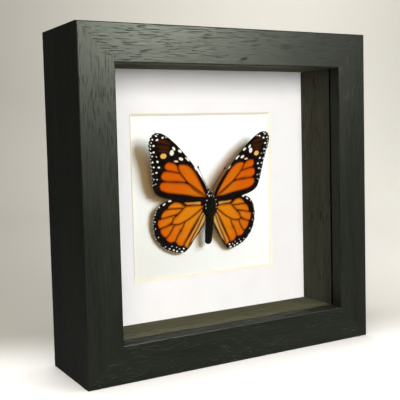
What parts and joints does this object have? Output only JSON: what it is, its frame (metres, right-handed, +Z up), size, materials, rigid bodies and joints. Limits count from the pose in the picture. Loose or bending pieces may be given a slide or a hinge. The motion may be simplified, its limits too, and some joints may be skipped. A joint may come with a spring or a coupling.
{
  "type": "framed butterfly specimen",
  "caption": "Spread monarch butterfly fixed to white card behind a bevelled mat and glass, in a deep square black-stained wooden shadow box frame.",
  "frame": {"origin": "bottom centre of the whole object, on the surface that the frame stands on", "axes": "+Z up, glass facing -Y, +X to the viewer's right"},
  "size_m": [0.17, 0.0492, 0.17],
  "materials": {
    "stained_oak": "open-grain wood, stained black and lacquered satin",
    "clear_glass": "clear float glass",
    "stained_strip": "flat wooden strip, stained black",
    "mat_board": "white mat board with a cream core at the bevel",
    "white_card": "smooth white card",
    "hardboard": "brown pressed hardboard",
    "zinc_steel": "zinc-plated sheet steel",
    "brass_plate": "brass-plated steel",
    "white_foam": "fine white closed-cell foam",
    "black_body": "black hairy insect cuticle with white dots",
    "forewing_scales": "orange wing scales, black veins and border, white dots",
    "hindwing_scales": "lighter orange wing scales, black veins and border"
  },
  "bodies": {
    "root": {"frame_rail_top": "stained_oak", "frame_rail_bottom": "stained_oak", "frame_rail_left": "stained_oak", "frame_rail_right": "stained_oak", "glass_pane": "clear_glass", "spacer_top": "stained_strip", "spacer_bottom": "stained_strip", "spacer_left": "stained_strip", "spacer_right": "stained_strip", "window_mat": "mat_board", "backing_card": "white_card", "backing_board": "hardboard", "framer_point_1": "zinc_steel", "framer_point_2": "zinc_steel", "framer_point_3": "zinc_steel", "framer_point_4": "zinc_steel", "framer_point_5": "zinc_steel", "framer_point_6": "zinc_steel", "framer_point_7": "zinc_steel", "framer_point_8": "zinc_steel", "sawtooth_hanger": "brass_plate", "hanger_nail_left": "brass_plate", "hanger_nail_right": "brass_plate", "mount_pad": "white_foam", "butterfly_body": "black_body", "forewing_left": "forewing_scales", "forewing_right": "forewing_scales", "hindwing_left": "hindwing_scales", "hindwing_right": "hindwing_scales", "antenna_left": "black_body", "antenna_right": "black_body"}
  },
  "joints": []
}
